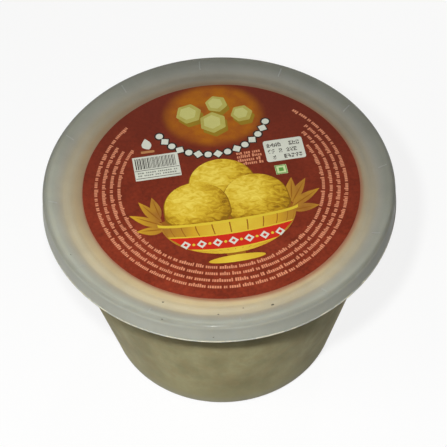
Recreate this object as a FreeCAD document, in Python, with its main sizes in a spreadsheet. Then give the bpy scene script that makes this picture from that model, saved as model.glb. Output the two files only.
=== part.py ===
"""Round ice cream tub with a press-on lid and a round label on the lid's panel.

The tub is shut and full, so it is one solid out to its outer wall, with its rim bead on top. The lid is a
moulded shell: a flat panel, a stacking ridge, a sloping rim with twelve short ribs, and a flared skirt that
hangs over the tub's wall. The label is a thin disc stuck on the panel, a little off centre.

Millimetres. +Z is up, and the origin is the centre of the tub's base, on the surface it stands on.
"""
import FreeCAD, Part
import os
import Sketcher

SIZES = {
    # tub
    "base_radius": 51.8,
    "wall_top_radius": 71.5,
    "wall_height": 91.0,
    "base_corner": 4.0,
    "foot_width": 3.5,
    "foot_height": 1.2,
    "bead_radius": 74.2,
    "bead_height": 2.6,
    "bead_rounding": 0.8,
    "bead_slope": 0.9,
    # lid
    "lid_wall": 0.9,
    "panel_height": 92.7,
    "panel_radius": 63.4,
    "ridge_width": 3.2,
    "ridge_height": 0.5,
    "plug_radius": 69.3,
    "plug_height": 1.2,
    "rim_slope_radius": 73.8,
    "rim_slope_height": 3.6,
    "crest_radius": 75.0,
    "crest_height": 4.4,
    "crest_rounding": 0.75,
    "skirt_radius": 76.0,
    "lip_radius": 76.7,
    "lip_height": 0.9,
    "lip_rounding": 0.35,
    "skirt_drop": 5.6,
    "ridge_rounding": 0.7,
    # ribs on the lid's rim
    "rib_count": 12,
    "rib_width": 0.6,
    "rib_height": 0.35,
    "rib_sink": 0.4,
    "rib_start": 0.6,
    "rib_turn": 5.7,
    # label
    "label_radius": 60.0,
    "label_thickness": 0.2,
    "label_right": 1.0,
    "label_back": 1.0,
}


class SheetNames(dict):
    """Turns {name} in an outline's text into a reference to the sheet's cell of that name."""

    def __missing__(self, name):
        return "Sizes." + name


def bound(text):
    """An expression on the sheet, written with each cell's name in braces."""
    return text.format_map(SheetNames())


def make_sheet(doc):
    """The driving dimensions, one alias to a cell."""
    sheet = doc.addObject("Spreadsheet::Sheet", "Sizes")
    for row, (name, value) in enumerate(SIZES.items(), start=1):
        sheet.set("A%d" % row, name.replace("_", " "))
        sheet.set("B%d" % row, str(value))
        sheet.setAlias("B%d" % row, name)
    doc.recompute()
    return sheet


def origin_feature(body, role):
    """One of the body's own origin planes or axes."""
    return next(feature for feature in body.Origin.OriginFeatures if feature.Role == role)


def outline_sketch(body, name, corners):
    """A closed outline in the body's XZ plane, with every corner bound to the sheet.

    Each corner is a pair of expressions: its radius, and its height above the base. A radius of "axis" keeps
    the corner on the body's axis.
    """
    sketch = body.newObject("Sketcher::SketchObject", name)
    sketch.AttachmentSupport = [(origin_feature(body, "XZ_Plane"), "")]
    sketch.MapMode = "FlatFace"
    count = len(corners)
    rough = [FreeCAD.Vector(1.0 + index, (index % 2) + 1.0, 0) for index in range(count)]
    for index in range(count):
        sketch.addGeometry(Part.LineSegment(rough[index], rough[(index + 1) % count]))
    for index in range(count):
        sketch.addConstraint(Sketcher.Constraint("Coincident", index, 2, (index + 1) % count, 1))
    for index, (radius, height) in enumerate(corners):
        if radius == "axis":
            sketch.addConstraint(Sketcher.Constraint("PointOnObject", index, 1, -2))
        else:
            bind_distance(sketch, "DistanceX", "radius%d" % index, index, radius)
        if height == "base":
            sketch.addConstraint(Sketcher.Constraint("PointOnObject", index, 1, -1))
        else:
            bind_distance(sketch, "DistanceY", "height%d" % index, index, height)
    return sketch


def bind_distance(sketch, kind, name, corner, expression):
    """A named distance from the origin to a corner, which follows the sheet."""
    row = sketch.addConstraint(Sketcher.Constraint(kind, -1, 1, corner, 1, 1.0))
    sketch.renameConstraint(row, name)
    sketch.setExpression("Constraints." + name, bound(expression))


def revolve(body, name, sketch):
    """A full turn of the outline about the body's axis."""
    turned = body.newObject("PartDesign::Revolution", name)
    turned.Profile = sketch
    turned.ReferenceAxis = (sketch, ["V_Axis"])
    turned.Angle = 360
    sketch.Visibility = False
    return turned


def ring_edges(feature, rings):
    """Names of the feature's round edges at the given pairs of radius and height."""
    names = []
    for number, edge in enumerate(feature.Shape.Edges, start=1):
        if not isinstance(edge.Curve, Part.Circle):
            continue
        for radius, height in rings:
            same_radius = abs(edge.Curve.Radius - radius) < 1e-3
            if same_radius and abs(edge.Curve.Center.z - height) < 1e-3:
                names.append("Edge%d" % number)
    if len(names) != len(rings):
        raise RuntimeError("%s: %d of %d edges found" % (feature.Name, len(names), len(rings)))
    return names


def round_edges(body, name, feature, rings, rounding):
    """A fillet on round edges, with its radius bound to the sheet."""
    fillet = body.newObject("PartDesign::Fillet", name)
    fillet.Base = (feature, ring_edges(feature, rings))
    fillet.setExpression("Radius", bound(rounding))
    body.Document.recompute()
    return fillet


def make_tub(doc, sheet):
    """The full tub: a coned wall with a foot ring below and a rim bead above, closed at the panel's level."""
    body = doc.addObject("PartDesign::Body", "Tub")
    body.Label = "tub"
    foot_inside = "{base_radius} - {base_corner} - {foot_width}"
    corners = [
        ("axis", "{foot_height}"),
        (foot_inside + " - {foot_height}", "{foot_height}"),
        (foot_inside, "base"),
        ("{base_radius}", "base"),
        ("{wall_top_radius}", "{wall_height}"),
        ("{bead_radius}", "{wall_height} + {bead_slope}"),
        ("{bead_radius}", "{wall_height} + {bead_slope} + {bead_height}"),
        ("{wall_top_radius} - {lid_wall}", "{wall_height} + {bead_slope} + {bead_height}"),
        ("{wall_top_radius} - {lid_wall}", "{panel_height} - {lid_wall}"),
        ("axis", "{panel_height} - {lid_wall}"),
    ]
    wall = revolve(body, "TubWall", outline_sketch(body, "TubOutline", corners))
    doc.recompute()
    corner = round_edges(body, "BaseCorner", wall, [(sheet.base_radius, 0.0)], "{base_corner}")
    bead_top = sheet.wall_height + sheet.bead_slope + sheet.bead_height
    body.Tip = round_edges(body, "BeadRounding", corner, [(sheet.bead_radius, bead_top)], "{bead_rounding}")
    return body


def lid_corners():
    """The lid's section: over the panel and rim, down the skirt, and back along the underside."""
    ridge_inside = "{panel_radius}"
    ridge_middle = "{panel_radius} + {ridge_width} / 2"
    ridge_outside = "{panel_radius} + {ridge_width}"
    lip_bottom = "{panel_height} - {skirt_drop}"
    bead_top = "{wall_height} + {bead_slope} + {bead_height}"
    top = [
        ("axis", "{panel_height}"),
        (ridge_inside, "{panel_height}"),
        (ridge_middle, "{panel_height} + {ridge_height}"),
        (ridge_outside, "{panel_height} + {ridge_height} / 3"),
        ("{plug_radius}", "{panel_height} + {plug_height}"),
        ("{rim_slope_radius}", "{panel_height} + {rim_slope_height}"),
        ("{crest_radius}", "{panel_height} + {crest_height}"),
        ("{skirt_radius}", lip_bottom + " + 2 * {lip_height}"),
        ("{lip_radius}", lip_bottom + " + {lip_height}"),
        ("{lip_radius}", lip_bottom),
    ]
    underside = [
        ("{skirt_radius} - {lid_wall}", lip_bottom),
        ("{crest_radius} - {lid_wall} / 2", bead_top),
        ("{wall_top_radius} - {lid_wall}", bead_top),
        ("{wall_top_radius} - {lid_wall}", "{panel_height} - {lid_wall}"),
        ("axis", "{panel_height} - {lid_wall}"),
    ]
    return top + underside


def add_ribs(body, sheet):
    """Twelve short radial ribs that run up the lid's sloping rim."""
    slope = "({rim_slope_height} - {plug_height}) / ({rim_slope_radius} - {plug_radius})"
    start_height = "{panel_height} + {plug_height} + {rib_start} * " + slope
    end_height = "{panel_height} + {rim_slope_height}"
    corners = [
        ("{plug_radius} + {rib_start}", start_height + " - {rib_sink}"),
        ("{rim_slope_radius}", end_height + " - {rib_sink}"),
        ("{rim_slope_radius}", end_height + " + {rib_height}"),
        ("{plug_radius} + {rib_start}", start_height + " + {rib_height}"),
    ]
    sketch = outline_sketch(body, "RibOutline", corners)
    rib = body.newObject("PartDesign::Pad", "Rib")
    rib.Profile = sketch
    rib.SideType = "Symmetric"
    rib.setExpression("Length", bound("{rib_width}"))
    sketch.Visibility = False
    body.Document.recompute()
    ribs = body.newObject("PartDesign::PolarPattern", "Ribs")
    ribs.Originals = [rib]
    ribs.Axis = (sketch, ["V_Axis"])
    ribs.Angle = 360
    ribs.setExpression("Occurrences", bound("{rib_count}"))
    return ribs


def make_lid(doc, sheet):
    """The lid's shell, its rounded crest, ridge and lip, and its ribs."""
    body = doc.addObject("PartDesign::Body", "Lid")
    body.Label = "lid"
    shell = revolve(body, "LidShell", outline_sketch(body, "LidOutline", lid_corners()))
    doc.recompute()
    lip_bottom = sheet.panel_height - sheet.skirt_drop
    crest = [(sheet.crest_radius, sheet.panel_height + sheet.crest_height)]
    ridge = [(sheet.panel_radius + sheet.ridge_width / 2, sheet.panel_height + sheet.ridge_height)]
    lip = [(sheet.lip_radius, lip_bottom + sheet.lip_height), (sheet.lip_radius, lip_bottom)]
    rounded = round_edges(body, "CrestRounding", shell, crest, "{crest_rounding}")
    rounded = round_edges(body, "RidgeRounding", rounded, ridge, "{ridge_rounding}")
    round_edges(body, "LipRounding", rounded, lip, "{lip_rounding}")
    body.Tip = add_ribs(body, sheet)
    turn = FreeCAD.Rotation(FreeCAD.Vector(0, 0, 1), sheet.rib_turn)
    body.Placement = FreeCAD.Placement(FreeCAD.Vector(0, 0, 0), turn)
    return body


def make_label(doc):
    """The round printed label, stuck flat on the lid's panel and a little off its centre."""
    label = doc.addObject("Part::Cylinder", "Label")
    label.Label = "label"
    label.setExpression("Radius", bound("{label_radius}"))
    label.setExpression("Height", bound("{label_thickness}"))
    label.setExpression("Placement.Base.x", bound("{label_right}"))
    label.setExpression("Placement.Base.y", bound("{label_back}"))
    label.setExpression("Placement.Base.z", bound("{panel_height}"))
    return label


def check(doc, pieces):
    """Stops with a message if any object failed, or a piece isn't one valid solid."""
    for item in doc.Objects:
        if "Invalid" in item.State or "Error" in item.State:
            raise RuntimeError("%s: %s" % (item.Name, item.State))
    for piece in pieces:
        shape = piece.Shape
        if shape.isNull() or not shape.isValid() or len(shape.Solids) != 1:
            raise RuntimeError("%s isn't one valid solid" % piece.Label)


def main():
    doc = FreeCAD.newDocument("IceCreamTub")
    sheet = make_sheet(doc)
    pieces = [make_tub(doc, sheet), make_lid(doc, sheet), make_label(doc)]
    doc.recompute()
    check(doc, pieces)
    os.makedirs("parts", exist_ok=True)
    for piece in pieces:
        piece.Shape.exportStep("parts/%s.step" % piece.Label)
        box = piece.Shape.BoundBox
        print("%-6s %8.0f mm3  x %.2f..%.2f  z %.2f..%.2f" % (
            piece.Label, piece.Shape.Volume, box.XMin, box.XMax, box.ZMin, box.ZMax))


main()
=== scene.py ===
"""The looks of a round ice cream tub: milky plastic tub and lid, and a printed label of plain motifs.

It is laid out as an add-on with one operator for each piece or group of like pieces, and is run as a script.
Everything is in metres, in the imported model's own frame: +Z up, the tub's base on z = 0. Only the print is
laid out in fractions of the label's radius, around the label's middle.
"""
import bpy
import bmesh
import math
import random
from mathutils import Matrix, Vector, noise


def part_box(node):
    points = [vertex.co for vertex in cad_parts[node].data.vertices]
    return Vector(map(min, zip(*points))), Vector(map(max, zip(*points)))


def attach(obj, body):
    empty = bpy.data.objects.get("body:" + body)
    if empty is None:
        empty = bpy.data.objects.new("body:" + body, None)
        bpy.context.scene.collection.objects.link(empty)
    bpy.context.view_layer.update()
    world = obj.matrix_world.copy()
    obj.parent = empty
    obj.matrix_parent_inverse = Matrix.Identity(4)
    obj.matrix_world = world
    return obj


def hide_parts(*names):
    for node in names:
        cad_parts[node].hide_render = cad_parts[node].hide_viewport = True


bl_info = {
    "name": "Ice Cream Tub",
    "version": (1, 0, 0),
    "blender": (4, 5, 0),
    "location": "View3D > Sidebar > Tub",
    "description": "Builds a shut ice cream tub, its lid and its printed label",
    "category": "Object",
}

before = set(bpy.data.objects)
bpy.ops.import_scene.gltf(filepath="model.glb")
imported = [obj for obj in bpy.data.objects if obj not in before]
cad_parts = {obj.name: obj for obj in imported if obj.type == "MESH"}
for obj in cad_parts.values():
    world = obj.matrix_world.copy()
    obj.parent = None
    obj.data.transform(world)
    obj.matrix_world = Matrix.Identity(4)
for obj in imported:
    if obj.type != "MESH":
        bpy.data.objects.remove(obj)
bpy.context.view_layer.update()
MM = 0.001
LABEL_LOW, LABEL_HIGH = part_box("label")
LID_LOW, LID_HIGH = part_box("lid")
_, TUB_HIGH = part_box("tub")
LABEL_CENTRE = (LABEL_LOW + LABEL_HIGH) / 2
LABEL_RADIUS = (LABEL_HIGH.x - LABEL_LOW.x) / 2
PANEL_HEIGHT = LABEL_LOW.z
LIP_RADIUS = (LID_HIGH.x - LID_LOW.x) / 2

WHITE = (1.0, 1.0, 1.0, 1.0)
BLACK = (0.0, 0.0, 0.0, 1.0)

# The printed bowl, in fractions of the label's radius.
BOWL_HALF = 0.49
BOWL_TOP = -0.27
BOWL_DEPTH = 0.345
RIM_RISE = 0.05


# ---------------------------------------------------------------- values a user would change

def number(name, description, default, **settings):
    """A property that is a number."""
    return bpy.props.FloatProperty(name=name, description=description, default=default, **settings)


def length(name, description, millimetres):
    """A length property, given in millimetres and kept in metres."""
    return number(name, description, millimetres * MM, subtype="DISTANCE", unit="LENGTH", precision=5)


def angle(name, description, degrees):
    """An angle property, given in degrees."""
    return number(name, description, math.radians(degrees), subtype="ANGLE", unit="ROTATION")


def colour(name, description, red, green, blue):
    """A colour property, given as display values from 0 to 255."""
    return bpy.props.FloatVectorProperty(
        name=name, description=description, size=3, min=0.0, max=1.0, subtype="COLOR_GAMMA",
        default=(red / 255, green / 255, blue / 255))


class TubShape(bpy.types.PropertyGroup):
    """Sizes of the tub and of the lid, beyond what the frame gives."""
    base_radius: length("Base radius", "Where the wall would meet the base", 51.8)
    wall_top_radius: length("Wall top radius", "The wall's radius under the rim bead", 71.5)
    wall_height: length("Wall height", "Height of the rim bead's underside", 91.0)
    base_corner: length("Base corner", "Rounding between the wall and the base", 4.0)
    foot_width: length("Foot width", "Width of the ring that the tub stands on", 3.5)
    foot_height: length("Foot height", "How far the base is raised inside the foot ring", 1.2)
    bead_radius: length("Bead radius", "Outer radius of the rim bead", 74.2)
    bead_slope: length("Bead slope", "Rise of the bead's underside", 0.9)
    bead_rounding: length("Bead rounding", "Rounding of the bead's corners", 0.8)
    lid_wall: length("Lid wall", "Thickness of the lid", 0.9)
    panel_radius: length("Panel radius", "Radius of the flat that holds the label", 63.4)
    ridge_width: length("Ridge width", "Width of the stacking ridge", 3.2)
    ridge_height: length("Ridge height", "Height of the stacking ridge", 0.24)
    plug_radius: length("Plug radius", "Where the rim's slope starts", 69.3)
    slope_radius: length("Slope radius", "Where the rim's slope ends", 73.8)
    slope_height: length("Slope height", "Height of the slope's end above the panel", 3.6)
    crest_radius: length("Crest radius", "Radius of the rim's crest", 75.0)
    crest_height: length("Crest height", "Height of the crest before it is rounded", 4.4)
    skirt_radius: length("Skirt radius", "Radius of the skirt above the lip", 76.0)
    waviness: length("Waviness", "How far the moulded plastic strays from a true round", 0.12)
    rib_count: bpy.props.IntProperty(name="Ribs", description="Number of short ribs on the rim", default=12)
    rib_turn: angle("Rib turn", "Direction of the first rib", 5.7)
    rib_width: length("Rib width", "Width of a rib", 0.6)
    rib_height: length("Rib height", "How far a rib stands out of the slope", 0.2)


class TubColours(bpy.types.PropertyGroup):
    """Colours of the plastic and of the print."""
    wall: colour("Wall", "Milky wall with the ice cream behind it", 203, 195, 142)
    wall_dark: colour("Wall, dark", "Darker clouds in the wall", 155, 147, 100)
    wall_smudge: colour("Wall, smudge", "Small smudges in the wall", 186, 162, 108)
    # The wall grey is partly the plastic's own grey and partly a painted reflection of the pale floor.
    wall_grey: colour("Wall, grey", "Where the plastic holds no ice cream", 200, 196, 172)
    # The wall head colour is painted shade: the lip's shadow on the wall under the lid.
    wall_lid_shadow: colour("Wall, head", "The wall above the ice cream, under the lid", 114, 102, 61)
    # The lid colours are the plastic's own beige over the ice cream and grey at the rim, in two copies: a lit
    # one for the near side, and the darker Gap copy, painted shade, for the far side.
    lid_inner: colour("Lid, inner", "The lid beside the label, with ice cream right under it", 197, 177, 137)
    lid_warm: colour("Lid, warm", "The lid over the ice cream", 185, 173, 144)
    lid_mid: colour("Lid, middle", "The lid over the edge of the ice cream", 172, 167, 150)
    lid_rim: colour("Lid, rim", "The lid's rim, where nothing lies behind it", 174, 176, 161)
    # The crest colour is painted shade: darker, to even out the crest where it faces the key lamp.
    lid_crest: colour("Lid, crest", "The rim's crest, where the light passes through", 135, 136, 125)
    lid_skirt: colour("Lid, skirt", "The skirt on the near side", 178, 179, 166)
    clear_skirt: colour("Gap, skirt", "The skirt beside the gap", 154, 155, 143)
    clear_inner: colour("Gap, inner", "The lid beside the label, with a gap under it", 122, 104, 82)
    clear_warm: colour("Gap, warm", "The lid over the gap", 128, 123, 109)
    clear_mid: colour("Gap, middle", "The lid over the edge of the gap", 125, 125, 116)
    clear_rim: colour("Gap, rim", "The lid's rim beside the gap", 108, 109, 100)
    # The lip edge colour is a painted highlight along the lip's lower edge.
    lip_edge: colour("Lip edge", "Whitened edge of the lid's lip", 216, 207, 175)
    # The label bleed colour is painted light: the label's red-brown shining into the plastic beside it.
    label_glow: colour("Label bleed", "Red-brown haze beside the label", 150, 92, 66)
    ground: colour("Ground", "The label's ground", 118, 43, 23)
    ground_dark: colour("Ground, dark", "Clouds in the label's ground", 92, 28, 8)
    glow: colour("Glow", "The warm spot behind the toffee pieces", 166, 98, 12)
    yellow_light: colour("Yellow, light", "The scoops' highlights", 220, 197, 82)
    yellow: colour("Yellow", "The scoops", 200, 168, 46)
    yellow_dark: colour("Yellow, dark", "The scoops' creases and lower sides", 168, 130, 24)
    yellow_deep: colour("Yellow, deep", "The deepest creases", 126, 88, 12)
    gold: colour("Gold", "The bowl and the leaves", 188, 145, 27)
    gold_light: colour("Gold, light", "Light edges of the bowl", 204, 178, 52)
    gold_dark: colour("Gold, dark", "The bowl's and the leaves' shaded parts", 138, 86, 22)
    cream_light: colour("Cream, light", "Shine on the toffee pieces' tops", 186, 182, 112)
    cream: colour("Cream", "The toffee pieces' tops", 172, 165, 88)
    cream_dark: colour("Cream, dark", "The toffee pieces' sides", 138, 112, 30)
    red: colour("Red", "The band on the bowl", 186, 38, 22)
    white: colour("White", "The beads and the patches", 200, 202, 188)
    peach: colour("Peach", "The rows of small marks", 200, 132, 99)
    black: colour("Black", "Bars, dots and outlines", 40, 30, 24)
    grey: colour("Grey", "Marks under the bars", 114.75, 117.3, 107.1)
    orange: colour("Orange", "The dish under the drop", 172, 122, 76)
    green: colour("Green", "The small square's spot", 84, 136, 60)
    pale_green: colour("Pale green", "The small square", 190, 204, 150)
    speck: colour("Speck", "Dust on the lid", 84, 78, 62)
    floor: colour("Floor", "The floor as it is seen", 242, 242, 240)
    floor_bounce: colour("Floor, bounce", "The floor as it lights the tub", 104, 104, 101)


class TubPrint(bpy.types.PropertyGroup):
    """The print's turn and thickness, and the start of its random draws."""
    turn: angle("Turn", "How far the print is turned on the label", 8.5)
    ink: length("Ink", "Height of one layer of print", 0.02)
    seed: bpy.props.IntProperty(name="Seed", description="Start of the random draws", default=11)


class TubView(bpy.types.PropertyGroup):
    """The camera and the lamps."""
    elevation: angle("Elevation", "How far the camera looks down", 51.57)
    roll: angle("Roll", "How far the camera leans", -1.83)
    distance: length("Distance", "From the camera to the label's middle", 659.8)
    aim_right: length("Aim right", "Aim point to the right of the lid's middle", 1.5)
    aim_down: length("Aim down", "Aim point below the lid's middle, in the view", 15.5)
    field: number("Lens", "Focal length in millimetres", 123.07)
    key_power: number("Key", "Power of the key lamp, in watts", 2.3)
    fill_power: number("Fill", "Power of the fill lamp, in watts", 0.72)
    back_power: number("Back", "Power of the back lamp, in watts", 2.4)
    sky: number("Sky", "Strength of the room's light", 0.10)


def shape():
    return bpy.context.scene.tub_shape


def colours():
    return bpy.context.scene.tub_colours


def layout():
    return bpy.context.scene.tub_print


# ---------------------------------------------------------------- outlines

def polar(radius, turn, *height):
    """A point at a radius and a turn from the middle, with a height if one is given."""
    return Vector((radius * math.cos(turn), radius * math.sin(turn), *height))


def rounded_outline(corners, steps=6):
    """A polyline with some corners rounded. Each corner is (x, y) or (x, y, rounding)."""
    points = []
    count = len(corners)
    for index, corner in enumerate(corners):
        here = Vector(corner[:2])
        rounding = corner[2] if len(corner) > 2 else 0.0
        if rounding <= 0:
            points.append(here)
            continue
        to_last = (Vector(corners[index - 1][:2]) - here).normalized()
        to_next = (Vector(corners[(index + 1) % count][:2]) - here).normalized()
        half = to_last.angle(to_next) / 2
        reach = rounding / math.tan(half)
        middle = here + (to_last + to_next).normalized() * (rounding / math.sin(half))
        start = here + to_last * reach - middle
        sweep = start.angle_signed(here + to_next * reach - middle)
        points += [middle + Matrix.Rotation(-sweep * step / steps, 2) @ start for step in range(steps + 1)]
    return points


def ellipse(x, y, across, up, steps=64, start=0.0, end=360.0):
    """Points of an ellipse, or of part of one, around (x, y)."""
    whole = abs(end - start) >= 360
    count = steps if whole else steps + 1
    turns = [math.radians(start + (end - start) * step / steps) for step in range(count)]
    return [Vector((x + across * math.cos(turn), y + up * math.sin(turn))) for turn in turns]


def box_outline(x, y, width, height, rounding=0.0):
    """A rectangle around (x, y), its corners rounded if wanted."""
    signs = ((-1, -1), (1, -1), (1, 1), (-1, 1))
    return rounded_outline([(x + a * width / 2, y + b * height / 2, rounding) for a, b in signs], 5)


def polygon(x, y, radius, sides, turn=0.0, rounding=0.0):
    """A regular polygon around (x, y), its corners rounded if wanted."""
    arms = [polar(radius, math.radians(turn + 360 * side / sides)) for side in range(sides)]
    return rounded_outline([(x + arm.x, y + arm.y, rounding) for arm in arms], 4)


def leaf(x, y, span, width, turn):
    """A pointed leaf, its lower side flatter, that starts at (x, y) and runs span along turn, in degrees."""
    steps, flatter = 14, 0.7
    upper = []
    for step in range(steps + 1):
        along = step / steps
        upper.append(Vector((span * along, width / 2 * math.sin(math.pi * along ** 0.8))))
    lower = [Vector((point.x, -flatter * point.y)) for point in upper[-2:0:-1]]
    turned = Matrix.Rotation(math.radians(turn), 2)
    return [turned @ point + Vector((x, y)) for point in upper + lower]


def scoop_outline(x, y, radius):
    """A ball of ice cream: a round top and a wider, frilled lower edge."""
    steps, frills, frill_height = 96, 13, 0.045
    points = []
    for step in range(steps):
        at = 2 * math.pi * step / steps
        low = max(0.0, -math.sin(at))
        reach = radius * (1 + low * (0.10 + frill_height * math.sin(frills * at)))
        points.append(Vector((x + reach * math.cos(at) * (1 + 0.07 * low), y + reach * math.sin(at) * 0.94)))
    return points


# ---------------------------------------------------------------- meshes

def add_piece(mesh, material, replaced=()):
    """Links a mesh, by its name, as a piece that rides on the tub, with its finish and what it stands for."""
    piece = bpy.data.objects.new(mesh.name, mesh)
    bpy.context.scene.collection.objects.link(piece)
    piece.data.materials.append(material)
    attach(piece, "root")
    for node in replaced:
        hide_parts(node)


def bridge(made, first, second):
    """Joins two rings of points with faces. A ring can be a single point."""
    steps = max(len(first), len(second))
    for step in range(steps):
        after = (step + 1) % steps
        corners = (first[step % len(first)], first[after % len(first)],
                   second[after % len(second)], second[step % len(second)])
        unique = list(dict.fromkeys(corners))
        if len(unique) > 2:
            made.faces.new(unique)


def lathe(name, outline, steps, crease, stray=None):
    """Turns an outline of (radius, height) points about the Z axis. stray moves a point a little."""
    made = bmesh.new()
    rings = []
    for radius, height in outline:
        if radius < 0.001 * MM:
            rings.append([made.verts.new((0, 0, height))])
            continue
        ring = []
        for step in range(steps):
            at = 2 * math.pi * step / steps
            place = polar(radius, at, height)
            ring.append(made.verts.new(stray(place, radius, at) if stray else place))
        rings.append(ring)
    for low, high in zip(rings, rings[1:]):
        bridge(made, low, high)
    return finish_mesh(name, made, crease)


def finish_mesh(name, made, crease=None):
    """Turns a bmesh into a mesh with outward normals.

    It is flat, or smooth but for the edges that are sharper than crease, in degrees."""
    bmesh.ops.recalc_face_normals(made, faces=made.faces)
    for face in made.faces:
        face.smooth = crease is not None
    mesh = bpy.data.meshes.new(name)
    made.to_mesh(mesh)
    made.free()
    if crease is not None:
        mesh.set_sharp_from_angle(angle=math.radians(crease))
    return mesh


def pulled_in(place, radius, wave, lift=0.0):
    """A point moved inwards, by the whole waviness where wave is 1 and not where it is -1, and up by lift."""
    shrink = 1 - shape().waviness * (0.5 + 0.5 * wave) / radius
    return Vector((place.x * shrink, place.y * shrink, place.z + lift))


def on_label(point):
    """The place, in metres, of a point of the print's layout."""
    turned = Matrix.Rotation(layout().turn, 2) @ Vector(point)
    return turned * LABEL_RADIUS + LABEL_CENTRE.xy


def print_piece(name, outlines, level, material, climb=0.0):
    """Flat printed shapes that ride on the label: thin closed slabs, level layers of print high.

    climb raises each shape above the one before it, for shapes that overlap."""
    bottom = LABEL_HIGH.z - layout().ink
    made = bmesh.new()
    for number, outline in enumerate(outlines):
        top = LABEL_HIGH.z + (level + climb * number) * layout().ink
        places = [on_label(point) for point in outline]
        upper = [made.verts.new((*place, top)) for place in places]
        lower = [made.verts.new((*place, bottom)) for place in places]
        made.faces.new(upper)
        made.faces.new(lower[::-1])
        bridge(made, lower, upper)
    add_piece(finish_mesh(name, made), material)


# ---------------------------------------------------------------- materials

def linear(display):
    """Display colour values as the linear values that a shader takes."""
    def straight(value):
        return value / 12.92 if value <= 0.04045 else ((value + 0.055) / 1.055) ** 2.4
    return [straight(value) for value in display] + [1.0]


def tint(name):
    """One of the tub's colours, as a shader takes it."""
    return linear(getattr(colours(), name))


class Graph:
    """A node tree whose nodes are added and linked in one call each."""

    def __init__(self, tree):
        self.tree = tree

    def add(self, kind, inputs=None, **settings):
        node = self.tree.nodes.new(kind)
        for name, value in settings.items():
            setattr(node, name, value)
        for name, value in (inputs or {}).items():
            self.feed(node.inputs[name], value)
        return node

    def feed(self, socket, value):
        """Links a socket to another, or sets it to a value, or to one of the tub's colours by its name."""
        if isinstance(value, bpy.types.NodeSocket):
            self.tree.links.new(value, socket)
        else:
            socket.default_value = tint(value) if isinstance(value, str) else value

    def math(self, operation, *values, clamp=False):
        node = self.add("ShaderNodeMath", dict(enumerate(values)), operation=operation, use_clamp=clamp)
        return node.outputs["Value"]

    def vector(self, operation, inputs, output="Vector"):
        return self.add("ShaderNodeVectorMath", inputs, operation=operation).outputs[output]

    def length(self, x, y):
        squares = self.math("ADD", self.math("POWER", x, 2.0), self.math("POWER", y, 2.0))
        return self.math("SQRT", squares)

    def mix(self, factor, first, second):
        return self.add("ShaderNodeMix", {0: factor, 6: first, 7: second}, data_type="RGBA").outputs[2]

    def spread(self, value, low, high, start=0.0, end=1.0, soft=False):
        """Goes from start to end as value goes from low to high, and stays there beyond them."""
        node = self.add("ShaderNodeMapRange", {
            "Value": value, "From Min": low, "From Max": high, "To Min": start, "To Max": end},
            interpolation_type="SMOOTHSTEP" if soft else "LINEAR")
        return node.outputs["Result"]

    def noise(self, place, scale, detail, **more):
        node = self.add("ShaderNodeTexNoise", {"Vector": place, "Scale": scale, "Detail": detail, **more})
        return node.outputs["Fac"]

    def ramp(self, factor, stops):
        """Colours, by their names, along a value from 0 to 1."""
        node = self.add("ShaderNodeValToRGB", {"Fac": factor})
        points = node.color_ramp.elements
        while len(points) < len(stops):
            points.new(0.5)
        for point, (place, name) in zip(points, stops):
            point.position = place
            point.color = tint(name)
        return node.outputs["Color"]

    def place(self):
        """The point's place in the model's own frame."""
        return self.add("ShaderNodeTexCoord").outputs["Object"]

    def split(self, vector):
        return self.add("ShaderNodeSeparateXYZ", {"Vector": vector}).outputs

    def seen(self):
        """1 for what the camera sees, also in a reflection, and 0 for light that bounces."""
        path = self.add("ShaderNodeLightPath").outputs
        indirect = self.math("MAXIMUM", path["Is Glossy Ray"], path["Is Transmission Ray"])
        return self.math("MAXIMUM", path["Is Camera Ray"], indirect)

    def clouds(self, **inputs):
        """Colours from the group of clouds and grain."""
        return self.group(clouds_group(), **inputs)

    def group(self, group, **inputs):
        node = self.add("ShaderNodeGroup", node_tree=group)
        for name, value in inputs.items():
            self.feed(node.inputs[name.replace("_", " ")], value)
        return node.outputs


def new_group(name, inputs, outputs):
    """An empty node group with its sockets, and its input and output nodes."""
    tree = bpy.data.node_groups.new(name, "ShaderNodeTree")
    kinds = {"number": "NodeSocketFloat", "colour": "NodeSocketColor", "vector": "NodeSocketVector"}
    for label, kind, default in inputs:
        socket = tree.interface.new_socket(name=label, in_out="INPUT", socket_type=kinds[kind])
        socket.default_value = default
    for label, kind in outputs:
        tree.interface.new_socket(name=label, in_out="OUTPUT", socket_type=kinds[kind])
    graph = Graph(tree)
    entry = graph.add("NodeGroupInput").outputs
    leave = graph.add("NodeGroupOutput").inputs
    return tree, graph, entry, leave


def clouds_group():
    """Two colours mixed in soft uneven clouds, with a fine grain on top."""
    name = "Clouds and grain"
    if name in bpy.data.node_groups:
        return bpy.data.node_groups[name]
    grey = (0.5, 0.5, 0.5, 1.0)
    inputs = (("Main", "colour", grey), ("Second", "colour", grey), ("Cloud size", "number", 0.02),
              ("Amount", "number", 0.5), ("Grain size", "number", 0.0006), ("Grain", "number", 0.1),
              ("Upright", "number", 1.0))
    tree, graph, entry, leave = new_group(name, inputs, (("Colour", "colour"), ("Cloud", "number")))
    squeeze = graph.add("ShaderNodeCombineXYZ", {"X": 1.0, "Y": 1.0, "Z": entry["Upright"]}).outputs[0]
    place = graph.vector("MULTIPLY", {0: graph.place(), 1: squeeze})
    cloud = graph.noise(place, graph.math("DIVIDE", 1.0, entry["Cloud size"]), 3.0)
    share = graph.spread(cloud, 0.36, 0.66)
    cloudy = graph.mix(graph.math("MULTIPLY", share, entry["Amount"]), entry["Main"], entry["Second"])
    grain = graph.noise(place, graph.math("DIVIDE", 1.0, entry["Grain size"]), 1.0)
    swing = graph.math("MULTIPLY_ADD", graph.math("SUBTRACT", grain, 0.5), entry["Grain"], 1.0)
    graph.feed(leave["Colour"], graph.vector("SCALE", {0: cloudy, 3: swing}))
    graph.feed(leave["Cloud"], share)
    return tree


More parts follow.
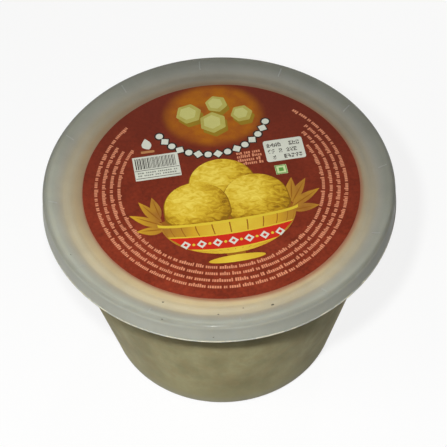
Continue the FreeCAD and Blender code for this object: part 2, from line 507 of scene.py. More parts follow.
def spot_group():
    """A mask that is 1 in the middle of an ellipse and falls softly to 0 at its edge."""
    name = "Soft spot"
    if name in bpy.data.node_groups:
        return bpy.data.node_groups[name]
    inputs = (("Middle", "vector", (0, 0, 0)), ("Width", "number", 0.01), ("Height", "number", 0.01),
              ("Softness", "number", 0.5))
    tree, graph, entry, leave = new_group(name, inputs, (("Mask", "number"),))
    x, y, _ = graph.split(graph.vector("SUBTRACT", {0: graph.place(), 1: entry["Middle"]}))
    far = graph.length(graph.math("DIVIDE", x, entry["Width"]), graph.math("DIVIDE", y, entry["Height"]))
    inner = graph.math("SUBTRACT", 1.0, entry["Softness"])
    graph.feed(leave["Mask"], graph.spread(far, inner, 1.0, 1.0, 0.0, soft=True))
    return tree


def soft_spot(graph, middle, width, height, softness):
    """The soft spot's mask, around a place (x, y)."""
    spot = graph.group(spot_group(), Middle=(*middle, 0.0), Width=width, Height=height, Softness=softness)
    return spot["Mask"]


def new_material(name, values):
    """A material's node graph, and the sockets of its Principled shader with their constant values."""
    material = bpy.data.materials.new(name)
    material.use_nodes = True
    sockets = material.node_tree.nodes["Principled BSDF"].inputs
    for label, value in values.items():
        sockets[label].default_value = value
    return material, Graph(material.node_tree), sockets


def milky(weight, depth):
    """Constant values of plastic that light enters to a depth in metres."""
    return {"Subsurface Weight": weight, "Subsurface Radius": (1.0, 0.85, 0.65), "Subsurface Scale": depth}


def add_bump(graph, sockets, height, strength, distance):
    """Relief that follows a height value."""
    bump = graph.add("ShaderNodeBump", {"Height": height, "Strength": strength, "Distance": distance})
    graph.feed(sockets["Normal"], bump.outputs["Normal"])


SATIN_FILM = {"Roughness": 0.42, "Specular IOR Level": 0.14}


def ink(main, second=None, clouds=0.35, name=None):
    """One ink on the satin film, by the names of its colours: faint clouds and the film's grain."""
    name = name or "ink_" + main
    if name in bpy.data.materials:
        return bpy.data.materials[name]
    material, graph, sockets = new_material(name, SATIN_FILM)
    darker = [value * 0.86 for value in tint(main)[:3]] + [1.0]
    mixed = graph.clouds(Main=main, Second=second or darker, Amount=clouds, Grain=0.16, Cloud_size=0.006)
    graph.feed(sockets["Base Color"], mixed["Colour"])
    return material


def label_material():
    """The label's red-brown ground, darker at its far side, with a warm soft spot there."""
    material, graph, sockets = new_material("label_ground", SATIN_FILM)
    ground = graph.clouds(Main="ground", Second="ground_dark",
                          Amount=0.6, Grain=0.9, Grain_size=0.0013, Cloud_size=0.011)
    _, y, _ = graph.split(graph.place())
    fade = graph.spread(y, -0.4 * LABEL_RADIUS, 0.7 * LABEL_RADIUS, 0.0, 0.7)
    faded = graph.mix(fade, ground["Colour"], "ground_dark")
    middle, width, height = (0.06, 0.69), 0.41 * LABEL_RADIUS, 0.34 * LABEL_RADIUS
    spot = soft_spot(graph, on_label(middle), width, height, 0.3)
    warm = graph.clouds(Main="glow", Second="ground", Amount=0.5, Grain=0.2, Cloud_size=0.007)
    both = graph.mix(graph.math("MULTIPLY", spot, 0.95), faded, warm["Colour"])
    graph.feed(sockets["Base Color"], both)
    return material


def scoop_material(name, x, y, radius):
    """Yellow ice cream: light towards its upper left, creased all over, darker at its lower edge."""
    material, graph, sockets = new_material(name, SATIN_FILM)
    size = radius * LABEL_RADIUS
    shine = (x - radius * 0.28, y + radius * 0.34)
    spot = soft_spot(graph, on_label(shine), 1.6 * size, 1.5 * size, 0.85)
    stretched = graph.add("ShaderNodeMapping", {
        "Vector": graph.place(), "Location": (x * LABEL_RADIUS, y * LABEL_RADIUS, 0.0),
        "Rotation": (0.0, 0.0, 0.5), "Scale": (1.0, 1.7, 1.0)})
    crease = graph.noise(stretched.outputs["Vector"], 250.0, 4.0, Roughness=0.62, Distortion=1.1)
    ragged = graph.math("MULTIPLY", graph.math("SUBTRACT", crease, 0.5), 1.7)
    light = graph.math("ADD", graph.math("MULTIPLY_ADD", spot, 0.75, 0.05), ragged, clamp=True)
    stops = ((0.0, "yellow_deep"), (0.25, "yellow_dark"), (0.6, "yellow"), (1.0, "yellow_light"))
    graph.feed(sockets["Base Color"], graph.ramp(light, stops))
    return material


def gold_material():
    """Printed gold: bands of light and shade from left to right."""
    material, graph, sockets = new_material("ink_gold", {"Roughness": 0.40, "Specular IOR Level": 0.3})
    x, _, _ = graph.split(graph.place())
    wave = graph.math("SINE", graph.math("MULTIPLY_ADD", x, 105.0, 0.9))
    light = graph.math("MULTIPLY_ADD", wave, 0.5, 0.5)
    banded = graph.ramp(light, ((0.0, "gold_dark"), (0.35, "gold"), (1.0, "gold_light")))
    grained = graph.clouds(Main=banded, Second="gold", Amount=0.5, Grain=0.12, Cloud_size=0.01)
    graph.feed(sockets["Base Color"], grained["Colour"])
    return material


def lid_material(name, lift):
    """Milky plastic: warm beige beside the label and grey at the rim, with painted light: lighter on the near
    side, darker on the far side.

    lift mixes in white: painted light that makes the ribs read as light lines and not as shaded ones."""
    material, graph, sockets = new_material(name, {
        "Roughness": 0.50, "Specular IOR Level": 0.16, "Coat Weight": 0.10, "Coat Roughness": 0.10,
        **milky(0.6, 4 * MM)})
    x, y, z = graph.split(graph.place())
    low, high = 60 * MM, 77 * MM
    across = graph.spread(graph.length(x, y), low, high)

    def banded(family, crest):
        """Rings of colour from the label outwards, at radii in millimetres."""
        # The crest stops are painted shade that evens out the crest's brighter shading.
        stops = ((61.8, "inner"), (64.8, "warm"), (66.8, "warm"), (69.2, "mid"), (72.0, "rim"), (73.2, "rim"),
                 (74.7, crest), (75.3, crest), (76.1, "skirt"))
        places = [((radius * MM - low) / (high - low), family + shade) for radius, shade in stops]
        return graph.ramp(across, places)

    near_lit_rings = banded("lid_", "crest")
    # Painted shade: the darker copy of the rings, for the far side.
    gap = banded("clear_", "rim")
    # Painted light: the lit colours go on the near side, more towards the left, and the darker copies,
    # painted shade, go on the far side. The ragged border between them turns a little from the label to the
    # rim.
    bulge = graph.math("MULTIPLY", across, graph.math("SUBTRACT", 1.0, across))
    tilt = graph.math("MULTIPLY_ADD", across, -0.4, graph.math("MULTIPLY", bulge, -1.1))
    sides = graph.math("MULTIPLY", graph.math("MULTIPLY", bulge, 1.26), graph.math("ABSOLUTE", x))
    sideways = graph.math("MULTIPLY_ADD", tilt, x, sides)
    lean = graph.math("MULTIPLY_ADD", y, -0.98, sideways)
    ragged = graph.noise(graph.place(), 45.0, 3.0)
    swing = graph.math("MULTIPLY", graph.math("SUBTRACT", ragged, 0.5), 0.22)
    near = graph.math("MULTIPLY_ADD", lean, 0.5 / LIP_RADIUS, 0.5)
    near_light_share = graph.math("POWER", graph.math("ADD", near, swing, clamp=True), 1.65)
    # Painted light: the label's colour shining into the plastic beside it.
    haze = LABEL_RADIUS + 1.5 * MM
    bleed = soft_spot(graph, (LABEL_CENTRE.x + 0.4 * MM, LABEL_CENTRE.y - 0.8 * MM), haze, haze, 0.03)
    plastic = graph.mix(near_light_share, gap, near_lit_rings)
    hazed = graph.mix(graph.math("MULTIPLY", bleed, 0.8), plastic, "label_glow")
    # Painted highlight: a broken light line along the lip's lower edge, in front and at the back.
    edge = graph.spread(z, LID_LOW.z + 0.6 * MM, LID_LOW.z + 0.8 * MM, 1.0, 0.0)
    highlight_breaks = graph.spread(graph.noise(graph.place(), 260.0, 2.0), 0.42, 0.56, 0.0, 0.9)
    ends = graph.spread(graph.math("ABSOLUTE", y), 24 * MM, 48 * MM, 0.1, 0.92)
    lip_highlight = graph.math("MULTIPLY", graph.math("MULTIPLY", edge, highlight_breaks), ends)
    lifted = graph.mix(lift, graph.mix(lip_highlight, hazed, "lip_edge"), WHITE)
    darker = graph.mix(0.10, lifted, BLACK)
    cloudy = graph.clouds(Main=lifted, Second=darker, Amount=0.8, Grain=0.08, Cloud_size=0.012)
    graph.feed(sockets["Base Color"], cloudy["Colour"])
    add_bump(graph, sockets, cloudy["Cloud"], 0.12, 0.4 * MM)
    return material


def wall_material():
    """Milky plastic with khaki ice cream behind it, in soft uneven clouds and smaller smudges."""
    material, graph, sockets = new_material("tub_milky_plastic", {
        "Roughness": 0.6, "Specular IOR Level": 0.08, "Sheen Weight": 0.07, "Sheen Roughness": 0.45,
        **milky(0.15, 3 * MM)})
    _, _, z = graph.split(graph.place())
    cloudy = graph.clouds(Main="wall", Second="wall_dark",
                          Amount=0.85, Grain=0.16, Grain_size=0.0014, Cloud_size=0.015, Upright=0.62)
    smudged = graph.clouds(Main=cloudy["Colour"], Second="wall_smudge",
                           Amount=0.40, Grain=0.0, Cloud_size=0.005, Upright=0.7)
    # Painted light from the pale floor: lighter above the base. Grey at the foot: plastic with no ice cream
    # behind it, and a painted reflection of the pale floor.
    base = graph.spread(z, 10 * MM, 27 * MM, 0.5, 0.0, soft=True)
    foot = graph.spread(z, 0.0, 12 * MM, 0.75, 0.0, soft=True)
    floor_lit = graph.mix(base, smudged["Colour"], "wall")
    greyed = graph.mix(foot, floor_lit, "wall_grey")
    # Painted shade: darker under the lid, where the lip's shadow falls, with an uneven lower edge, and a
    # little darker from 50 mm up to 68 mm.
    level = graph.math("MULTIPLY_ADD", graph.noise(graph.place(), 55.0, 3.0), 16 * MM, z)
    lid_shadow = graph.spread(level, 70 * MM, 84 * MM, 0.0, 0.64, soft=True)
    below = graph.spread(z, 50 * MM, 68 * MM, 0.0, 0.18)
    shaded = graph.mix(graph.math("MAXIMUM", lid_shadow, below), greyed, "wall_lid_shadow")
    graph.feed(sockets["Base Color"], shaded)
    add_bump(graph, sockets, smudged["Cloud"], 0.25, 0.3 * MM)
    return material


def floor_material():
    """A pale floor that looks white to the camera but keeps the tub's shadow."""
    material = bpy.data.materials.new("pale_floor")
    material.use_nodes = True
    graph = Graph(material.node_tree)
    graph.tree.nodes.clear()
    grain = graph.clouds(Main="floor", Second="floor", Amount=0.0, Grain=0.02, Cloud_size=0.05)
    seen = graph.seen()
    tinted = graph.mix(seen, "floor_bounce", grain["Colour"])
    diffuse = graph.add("ShaderNodeBsdfDiffuse", {"Color": tinted}).outputs[0]
    white = graph.add("ShaderNodeEmission", {"Color": WHITE, "Strength": 1.0}).outputs[0]
    distance = graph.vector("LENGTH", {0: graph.place()}, "Value")
    whiter = graph.spread(distance, 0.25, 0.8, 0.85, 1.0, soft=True)
    share = graph.math("MULTIPLY", seen, whiter)
    both = graph.add("ShaderNodeMixShader", {"Fac": share, 1: diffuse, 2: white}).outputs[0]
    graph.add("ShaderNodeOutputMaterial", {"Surface": both}, is_active_output=True)
    return material


# ---------------------------------------------------------------- operators

class TUB_OT_wall(bpy.types.Operator):
    """Builds the tub: coned wall, rounded base corner, foot ring and rim bead"""
    bl_idname = "tub.wall"
    bl_label = "Tub wall"

    def execute(self, context):
        size = shape()
        foot = size.base_radius - size.base_corner - size.foot_width
        rim_inside = size.wall_top_radius - size.lid_wall
        top = PANEL_HEIGHT - size.lid_wall
        outline = rounded_outline([
            (0.0, size.foot_height),
            (foot - size.foot_height, size.foot_height, 0.5 * MM),
            (foot, 0.0, 0.4 * MM),
            (size.base_radius, 0.0, size.base_corner),
            (size.wall_top_radius, size.wall_height, 0.3 * MM),
            (size.bead_radius, size.wall_height + size.bead_slope, 0.4 * MM),
            (size.bead_radius, TUB_HIGH.z, size.bead_rounding),
            (rim_inside, TUB_HIGH.z, 0.2 * MM),
            (rim_inside, top),
            (0.0, top),
        ], 8)
        mesh = lathe("tub_wall", self.divide(outline, 4 * MM), 256, 50, self.stray)
        add_piece(mesh, wall_material(), ["tub"])
        return {"FINISHED"}

    def divide(self, outline, longest):
        """The outline with its long straight runs divided, so that the wall can stray."""
        points = [outline[0]]
        for start, end in zip(outline, outline[1:]):
            parts = max(1, math.ceil((end - start).length / longest))
            points += [start.lerp(end, part / parts) for part in range(1, parts + 1)]
        return points

    def stray(self, place, radius, at):
        """Pulls the wall in a little, as uneven plastic is."""
        if place.z < 5 * MM or place.z > shape().wall_height:
            return place
        return pulled_in(place, radius, noise.noise(place * 28))


class TUB_OT_lid(bpy.types.Operator):
    """Builds the lid: panel, stacking ridge, sloping rim, flared skirt and lip"""
    bl_idname = "tub.lid"
    bl_label = "Lid"

    def execute(self, context):
        size = shape()
        panel = PANEL_HEIGHT
        lip = LID_LOW.z
        ridge_middle = size.panel_radius + size.ridge_width / 2
        rim_inside = size.wall_top_radius - size.lid_wall
        outline = rounded_outline([
            (0.0, panel),
            (size.panel_radius - 0.6 * MM, panel, 1.6 * MM),
            (ridge_middle - 0.9 * MM, panel + size.ridge_height, 2.4 * MM),
            (ridge_middle, panel + size.ridge_height, 0.8 * MM),
            (ridge_middle + 0.9 * MM, panel + 0.6 * size.ridge_height, 1.2 * MM),
            (size.panel_radius + 1.2 * size.ridge_width, panel + 0.7 * size.ridge_height, 3.0 * MM),
            (size.slope_radius - 1.8 * MM, panel + 0.8 * size.slope_height, 6.0 * MM),
            (size.crest_radius - 0.3 * MM, panel + size.crest_height - 0.32 * MM, 1.3 * MM),
            (size.skirt_radius - 0.1 * MM, panel + size.slope_height - 0.8 * MM, 1.8 * MM),
            (size.skirt_radius + 0.25 * MM, lip + 3.2 * MM, 9.0 * MM),
            (LIP_RADIUS - 0.3 * MM, lip + 0.6 * MM, 0.1 * MM),
            (LIP_RADIUS, lip + 0.3 * MM, 0.06 * MM),
            (LIP_RADIUS, lip, 0.08 * MM),
            (size.skirt_radius - size.lid_wall, lip, 0.3 * MM),
            (size.crest_radius - size.lid_wall / 2, TUB_HIGH.z, 0.3 * MM),
            (rim_inside, TUB_HIGH.z),
            (rim_inside, panel - size.lid_wall),
            (0.0, panel - size.lid_wall),
        ])
        mesh = lathe("lid_shell", outline, 360, 60, self.stray)
        add_piece(mesh, lid_material("lid_milky_plastic", 0.0), ["lid"])
        return {"FINISHED"}

    def stray(self, place, radius, at):
        """Waves in the rim and the lip, inwards and upwards only."""
        if radius < shape().slope_radius:
            return place
        soft = noise.noise(polar(2.2, at, 3.1))
        fine = noise.noise(polar(16, at, 7.7))
        near_lip = max(0.0, 1 - (place.z - LID_LOW.z) / (3 * MM))
        return pulled_in(place, radius, soft, shape().waviness * near_lip * (0.6 + 0.6 * fine))


class TUB_OT_ribs(bpy.types.Operator):
    """Builds the short radial ribs on the lid's sloping rim"""
    bl_idname = "tub.ribs"
    bl_label = "Lid ribs"

    def execute(self, context):
        size = shape()
        inside = Vector((size.plug_radius + 0.4 * MM, PANEL_HEIGHT + 0.47 * size.slope_height))
        outside = Vector((size.slope_radius - 0.3 * MM, PANEL_HEIGHT + 0.96 * size.slope_height))
        along = (outside - inside).normalized()
        above = Vector((-along.y, along.x))
        # A rib's section, in widths and heights, and how high it is along the slope.
        section = ((-0.5, -1.0), (-0.5, 0.45), (-0.22, 0.92), (0.22, 0.92), (0.5, 0.45), (0.5, -1.0))
        heights = ((0.0, 0.35), (0.12, 1.0), (0.88, 1.0), (1.0, 0.35))
        made = bmesh.new()
        for rib in range(size.rib_count):
            turned = Matrix.Rotation(size.rib_turn + 2 * math.pi * rib / size.rib_count, 3, "Z")
            rings = []
            for share, height in heights:
                ring = []
                for side, rise in section:
                    up = rise * (height if rise > 0 else 1.0)
                    spot = inside.lerp(outside, share) + above * (size.rib_height * up)
                    ring.append(made.verts.new(turned @ Vector((spot.x, side * size.rib_width, spot.y))))
                rings.append(ring)
            for first, second in zip(rings, rings[1:]):
                bridge(made, first, second)
            made.faces.new(rings[0])
            made.faces.new(rings[-1])
        mesh = finish_mesh("lid_ribs", made, 50)
        # Painted light: the ribs' plastic is mixed with white so that they read as light lines and not as
        # shaded ones.
        add_piece(mesh, lid_material("lid_thick_plastic", 0.07))
        return {"FINISHED"}


class TUB_OT_label(bpy.types.Operator):
    """Builds the round label with its red-brown ground"""
    bl_idname = "tub.label"
    bl_label = "Label"

    def execute(self, context):
        outline = rounded_outline([
            (0.0, LABEL_HIGH.z),
            (LABEL_RADIUS, LABEL_HIGH.z, 0.06 * MM),
            (LABEL_RADIUS, LABEL_LOW.z),
            (0.0, LABEL_LOW.z),
        ], 4)
        mesh = lathe("label_sheet", outline, 256, 40)
        mesh.transform(Matrix.Translation((LABEL_CENTRE.x, LABEL_CENTRE.y, 0)))
        add_piece(mesh, label_material(), ["label"])
        return {"FINISHED"}


class TUB_OT_artwork(bpy.types.Operator):
    """Prints the label's picture: a gold bowl with three scoops, leaves and toffee pieces"""
    bl_idname = "tub.artwork"
    bl_label = "Label picture"

    def execute(self, context):
        self.scoops()
        self.bowl()
        self.leaves()
        self.toffee()
        self.beads()
        return {"FINISHED"}

    def scoops(self):
        """Three scoops, each with a dark edge. The nearer ones cover the one behind."""
        edge = 0.008
        for name, x, y, radius, level in (("scoop_back", 0.01, 0.03, 0.235, 2),
                                          ("scoop_right", 0.225, -0.150, 0.23, 3),
                                          ("scoop_left", -0.205, -0.155, 0.23, 4)):
            shadow = scoop_outline(x, y - edge, radius + edge)
            print_piece("print_" + name + "_edge", [shadow], level - 0.5, ink("yellow_deep"))
            material = scoop_material("ink_" + name, x, y, radius)
            print_piece("print_" + name, [scoop_outline(x, y, radius)], level, material)

    def bowl(self):
        """A fluted bowl on a stem and a foot, with a light rim and a red band."""
        gold, light, dark = gold_material(), ink("gold_light"), ink("gold_dark")
        print_piece("print_bowl_inside", [ellipse(0, BOWL_TOP, BOWL_HALF, RIM_RISE)], 1, dark)
        print_piece("print_bowl_stem", [box_outline(0, -0.625, 0.13, 0.08, 0.02)], 4.5, dark)
        print_piece("print_bowl_foot", [ellipse(0, -0.665, 0.20, 0.030, 40)], 5, gold)
        front = ellipse(0, BOWL_TOP, BOWL_HALF, BOWL_DEPTH, 64, 180, 360)
        lip = ellipse(0, BOWL_TOP, BOWL_HALF, RIM_RISE, 48, 360, 180)
        print_piece("print_bowl", [front + lip[1:-1]], 6, gold)
        print_piece("print_bowl_flutes", [self.flute(turn) for turn in range(-75, 76, 15)], 6.5, dark)
        rim_half, rim_thickness = BOWL_HALF + 0.015, 0.022
        upper = ellipse(0, BOWL_TOP, rim_half, RIM_RISE, 48, 180, 360)
        lower = ellipse(0, BOWL_TOP - rim_thickness, rim_half, RIM_RISE, 48, 360, 180)
        print_piece("print_bowl_rim", [upper + lower], 7, light)
        band_top, band_bottom, border = -0.412, -0.533, 0.012
        print_piece("print_band_edge", [self.band(band_top + border, band_bottom - border)], 7, light)
        print_piece("print_band", [self.band(band_top, band_bottom)], 8, ink("red"))
        self.diamonds(light)

    def flute(self, turn):
        """A thin line down the bowl's front, at a turn in degrees from its middle."""
        steps, half_width, end = 14, 0.55, 0.985
        rise = RIM_RISE * math.cos(math.radians(turn))
        sides = []
        for shift in (-half_width, half_width):
            across = BOWL_HALF * math.sin(math.radians(turn + shift))
            downs = [step / steps for step in range(1, steps)]
            sides.append([Vector((across * math.sqrt(1 - down ** 2),
                                  BOWL_TOP - rise * (1 - down) - BOWL_DEPTH * down * end)) for down in downs])
        return sides[0] + sides[1][::-1]

    def band(self, top, bottom):
        """A curved strip across the bowl between two heights."""
        steps, sag, inset = 16, 0.035, 0.005

        def edge(height):
            half = (BOWL_HALF - inset) * math.sqrt(1 - ((height - BOWL_TOP) / BOWL_DEPTH) ** 2)
            sides = [step / steps * 2 - 1 for step in range(steps + 1)]
            return [Vector((half * side, height - sag * (1 - side ** 2))) for side in sides]

        return edge(top)[::-1] + edge(bottom)

    def diamonds(self, light):
        """White diamonds with red hearts along the band, and a light dot between each two."""
        pitch, middle, bend = 0.112, -0.510, 0.17
        spots, hearts, dots = [], [], []
        for number in range(-3, 4):
            x = number * pitch
            y = middle + bend * x * x
            spots.append(polygon(x, y, 0.036, 4))
            hearts.append(polygon(x, y, 0.016, 4))
            dots.append(polygon(x + pitch / 2, y + 0.003 * (number + 0.5), 0.011, 12))
        print_piece("print_band_diamonds", spots, 9, ink("white"))
        print_piece("print_band_dots", dots[:-1], 9, light)
        print_piece("print_band_hearts", hearts, 10, ink("red"))

    def leaves(self):
        """Four leaves with a rib on each side of the bowl."""
        leaves, ribs = [], []
        for side in (-1, 1):
            for number, (turn, span) in enumerate(((80, 0.20), (56, 0.25), (30, 0.26), (4, 0.20))):
                heading = turn if side > 0 else 180 - turn
                x, y = side * (0.475 - 0.005 * number), -0.215 - 0.035 * number
                leaves.append(leaf(x, y, span, 0.085, heading))
                ribs.append(leaf(x, y, span * 0.85, 0.012, heading))
        print_piece("print_leaves", leaves, 1, bpy.data.materials["ink_gold"], climb=0.1)
        print_piece("print_leaf_ribs", ribs, 2, ink("gold_dark"), climb=0.1)

    def toffee(self):
        """Six-sided toffee pieces on the warm spot, each with a dark side below its pale, shiny top."""
        pieces = ((0.10, 0.795, 0.085, 40), (-0.12, 0.735, 0.10, 12), (0.27, 0.665, 0.085, 5),
                  (0.045, 0.615, 0.105, 25))
        layers = (("sides", 0.012, -0.040, 1.0, 0.014, ink("cream_dark")),
                  ("tops", 0.0, 0.0, 1.0, 0.014, ink("cream", "cream_dark", 0.3)),
                  ("shine", -0.006, 0.006, 0.66, 0.012, ink("cream_light")))
        for level, (name, right, up, share, rounding, material) in enumerate(layers, 1):
            shapes = [polygon(x + right, y + up, radius * share, 6, turn, rounding)
                      for x, y, radius, turn in pieces]
            print_piece("print_toffee_" + name, shapes, level, material, climb=0.1)

    def beads(self):
        """A hanging arc of plain white beads and diamonds with dark outlines."""
        count, reach, border = 15, 0.43, 0.012
        beads, rings = [], []
        for number in range(count):
            turn = 202 + 136 * number / (count - 1)
            arm = polar(reach, math.radians(turn))
            x, y = 0.03 + arm.x, 0.70 + 0.92 * arm.y
            sides, radius = (4, 0.036) if number % 2 else (16, 0.027)
            beads.append(polygon(x, y, radius, sides, turn))
            rings.append(polygon(x, y, radius + border, sides, turn))
        print_piece("print_bead_outlines", rings, 1, ink("black"))
        print_piece("print_beads", beads, 2, ink("white"))


class TUB_OT_patches(bpy.types.Operator):
    """Prints the plain patches: bars, random dots, a small square, and a drop over a dish"""
    bl_idname = "tub.patches"
    bl_label = "Label patches"

    def execute(self, context):
        draw = random.Random(layout().seed)
        grounds = [box_outline(-0.43, 0.265, 0.335, 0.225), box_outline(0.515, 0.255, 0.29, 0.205, 0.018)]
        print_piece("print_patches", grounds, 1.5, ink("white"))
        self.bars(draw)
        self.dots(draw)
        self.square()
        print_piece("print_drop", [leaf(-0.462, 0.440, 0.11, 0.085, 98)], 1, ink("white"))
        print_piece("print_dish", [box_outline(-0.475, 0.418, 0.10, 0.022, 0.008)], 1, ink("orange"))
        return {"FINISHED"}

    def bars(self, draw):
        """Upright bars of random widths, with grey marks between two long lines below them."""
        start, end = -0.582, -0.288
        bars, marks = [], []
        x = start
        while x < end:
            width = draw.choice((0.004, 0.004, 0.006, 0.008))
            bars.append(box_outline(x + width / 2, 0.310, width, 0.105))
            x += width + draw.choice((0.004, 0.005, 0.007))
        bars += [box_outline(-0.43, y, 0.325, 0.005) for y in (0.245, 0.172)]
        print_piece("print_bars", bars, 2, ink("black"))
        for y in (0.221, 0.196):
            for begin, width, _ in mark_row(draw, 0.29):
                marks.append(box_outline(begin - 0.575 + width / 2, y, width, 0.012))
        print_piece("print_patch_lines", marks, 2, ink("grey"))

    def dots(self, draw):
        """Blocks of three by five small dots, with some blocks and some dots left out."""
        pitch = 0.0078
        dots = []
        for row in range(3):
            for column in range(9):
                if draw.random() < 0.85:
                    left, top = 0.395 + 0.0275 * column, 0.325 - 0.060 * row
                    cells = [(a, b) for a in range(3) for b in range(5) if draw.random() < 0.6]
                    dots += [polygon(left + a * pitch, top - b * pitch, 0.0042, 6) for a, b in cells]
        print_piece("print_dots", dots, 2, ink("black"))

    def square(self):
        """A small pale square with a green border and a green spot."""
        x, y, reach, line, side = 0.455, 0.07, 0.036, 0.006, 0.080
        green = [polygon(x, y, 0.024, 4, 45)]
        for sign in (1, -1):
            green.append(box_outline(x, y + sign * reach, side, line))
        for sign in (1, -1):
            green.append(box_outline(x + sign * reach, y, line, 0.066))
        print_piece("print_square", [box_outline(x, y, 0.085, 0.085)], 1, ink("pale_green"))
        print_piece("print_square_spot", green, 2, ink("green"))


def mark_row(draw, whole):
    """Short marks in groups, like a row of dashes: where each begins, its width and its height."""
    gap, group_gap = 0.0045, 0.012
    marks = []
    at = 0.0
    while at < whole:
        for _ in range(draw.randint(2, 9)):
            width = draw.uniform(0.008, 0.014)
            if at + width > whole:
                return marks
            marks.append((at, width, draw.choice((0.021, 0.021, 0.021, 0.029))))
            at += width + gap
        at += group_gap
    return marks


class TUB_OT_small_print(bpy.types.Operator):
    """Prints the rows of small peach marks that stand for small print, without any lettering"""
    bl_idname = "tub.small_print"
    bl_label = "Small marks"

    def execute(self, context):
        draw = random.Random(layout().seed + 1)
        # Each curved row: its radius, and the turns in degrees where it starts and ends.
        rows = ((0.914, 131, 405), (0.859, 144, 393), (0.802, 145, 391), (0.747, 142, 382))
        marks = []
        for reach, start, end in rows:
            for begin, width, height in mark_row(draw, math.radians(end - start) * reach):
                first = math.radians(start) + begin / reach
                last = first + width / reach
                corners = ((reach, first), (reach, last), (reach - height, last), (reach - height, first))
                marks.append([polar(radius, at) for radius, at in corners])
        for row in range(4):
            for begin, width, height in mark_row(draw, draw.uniform(0.14, 0.2)):
                x, y = 0.16 + begin + width / 2, 0.265 - 0.035 * row + height / 2
                marks.append(box_outline(x, y, width, height))
        print_piece("print_small_marks", marks, 1, ink("peach"))
        return {"FINISHED"}


class TUB_OT_specks(bpy.types.Operator):
    """Scatters the few dark specks of dust on the near side of the lid"""
    bl_idname = "tub.specks"
    bl_label = "Specks"

    def execute(self, context):
        # Each speck: its turn in degrees, then its place from the middle and its size in millimetres.
        specks = ((-112, 64.5, 0.35), (-109, 74.8, 0.3), (-93, 76.2, 0.25), (-91.5, 66.8, 0.3),
                  (-82.5, 64.6, 0.25), (-72, 66.0, 0.45), (-150, 72.0, 0.25))
        flat = Matrix.Diagonal((1.5, 0.8, 0.35, 1.0))
        made = bmesh.new()
        for degrees, radius, size in specks:
            start = polar(radius * MM, math.radians(degrees), LID_HIGH.z + 10 * MM)
            hit, place, normal, _ = bpy.data.objects["lid_shell"].ray_cast(start, Vector((0, 0, -1)))
            if not hit:
                raise RuntimeError("a speck misses the lid")
            blob = bmesh.ops.create_icosphere(made, subdivisions=2, radius=size * MM)["verts"]
            turned = normal.to_track_quat("Z", "Y").to_matrix().to_4x4()
            bmesh.ops.transform(made, matrix=Matrix.Translation(place) @ turned @ flat, verts=blob)
        mesh = finish_mesh("lid_specks", made, 180)
        add_piece(mesh, ink("speck", name="dust"))
        return {"FINISHED"}


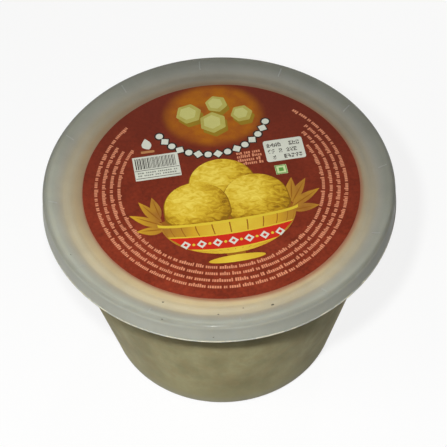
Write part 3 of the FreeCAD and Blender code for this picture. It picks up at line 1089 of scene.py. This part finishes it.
class TUB_OT_stage(bpy.types.Operator):
    """Lays the floor and sets the lamps, the room's light and the camera"""
    bl_idname = "tub.stage"
    bl_label = "Stage"

    def execute(self, context):
        scene = context.scene
        view = scene.tub_view
        self.floor()
        self.lamp("key_lamp", (-0.03, -0.267, 0.46), 0.030, view.key_power)
        self.lamp("fill_lamp", (-0.56, -0.18, 0.36), 0.3, view.fill_power)
        self.lamp("back_lamp", (0.20, 0.60, 0.07), 0.12, view.back_power, shows=False)
        self.room(scene, view.sky)
        self.camera(scene, view)
        scene.view_settings.view_transform = "Standard"
        return {"FINISHED"}

    def floor(self):
        made = bmesh.new()
        bmesh.ops.create_grid(made, x_segments=8, y_segments=8, size=3.0)
        floor = bpy.data.objects.new("floor", finish_mesh("floor", made))
        floor.data.materials.append(floor_material())
        bpy.context.scene.collection.objects.link(floor)

    def lamp(self, name, place, size, power, shows=True):
        """A round lamp aimed at the lid. shows is whether it is seen in reflections."""
        light = bpy.data.lights.new(name, "AREA")
        light.shape = "DISK"
        light.size = size
        light.energy = power
        lamp = bpy.data.objects.new(name, light)
        lamp.location = place
        aim = Vector((0, 0, PANEL_HEIGHT)) - lamp.location
        lamp.rotation_euler = aim.to_track_quat("-Z", "Y").to_euler()
        lamp.visible_glossy = shows
        bpy.context.scene.collection.objects.link(lamp)

    def room(self, scene, strength):
        """Plain grey light from all round; it looks white to the camera and in reflections."""
        world = bpy.data.worlds.new("room")
        world.use_nodes = True
        scene.world = world
        graph = Graph(world.node_tree)
        graph.tree.nodes.clear()
        level = graph.spread(graph.seen(), 0.0, 1.0, strength, 1.0)
        backdrop = graph.add("ShaderNodeBackground", {"Color": WHITE, "Strength": level}).outputs[0]
        graph.add("ShaderNodeOutputWorld", {"Surface": backdrop})

    def camera(self, scene, view):
        forward = Vector((0, math.cos(view.elevation), -math.sin(view.elevation)))
        right = Vector((1, 0, 0))
        up = right.cross(forward)
        aim = Vector((0, 0, PANEL_HEIGHT)) + right * view.aim_right - up * view.aim_down
        lens = bpy.data.cameras.new("camera")
        lens.sensor_width = 36.0
        lens.lens = view.field
        lens.clip_start = 0.01
        lens.clip_end = 20.0
        camera = bpy.data.objects.new("camera", lens)
        basis = Matrix((right, up, -forward)).transposed().to_4x4()
        lean = Matrix.Rotation(view.roll, 4, "Z")
        camera.matrix_world = Matrix.Translation(aim - forward * view.distance) @ basis @ lean
        scene.collection.objects.link(camera)
        scene.camera = camera


STEPS = (TUB_OT_wall, TUB_OT_lid, TUB_OT_ribs, TUB_OT_label, TUB_OT_artwork, TUB_OT_patches,
         TUB_OT_small_print, TUB_OT_specks, TUB_OT_stage)
GROUPS = {"tub_shape": TubShape, "tub_colours": TubColours, "tub_print": TubPrint, "tub_view": TubView}


class TUB_PT_panel(bpy.types.Panel):
    """Lists the pieces' operators and the values that can be changed"""
    bl_label = "Ice cream tub"
    bl_idname = "TUB_PT_panel"
    bl_space_type = "VIEW_3D"
    bl_region_type = "UI"
    bl_category = "Tub"

    def draw(self, context):
        column = self.layout.column()
        for step in STEPS:
            column.operator(step.bl_idname)
        for group in GROUPS:
            values = getattr(context.scene, group)
            box = self.layout.box()
            for name in values.__annotations__:
                box.prop(values, name)


CLASSES = (*GROUPS.values(), *STEPS, TUB_PT_panel)


def register():
    for kind in CLASSES:
        bpy.utils.register_class(kind)
    for name, group in GROUPS.items():
        setattr(bpy.types.Scene, name, bpy.props.PointerProperty(type=group))


def unregister():
    for name in GROUPS:
        delattr(bpy.types.Scene, name)
    for kind in reversed(CLASSES):
        bpy.utils.unregister_class(kind)


def main():
    register()
    for step in STEPS:
        family, name = step.bl_idname.split(".")
        getattr(getattr(bpy.ops, family), name)()
    bpy.context.view_layer.update()
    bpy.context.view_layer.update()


if __name__ == "__main__":
    main()
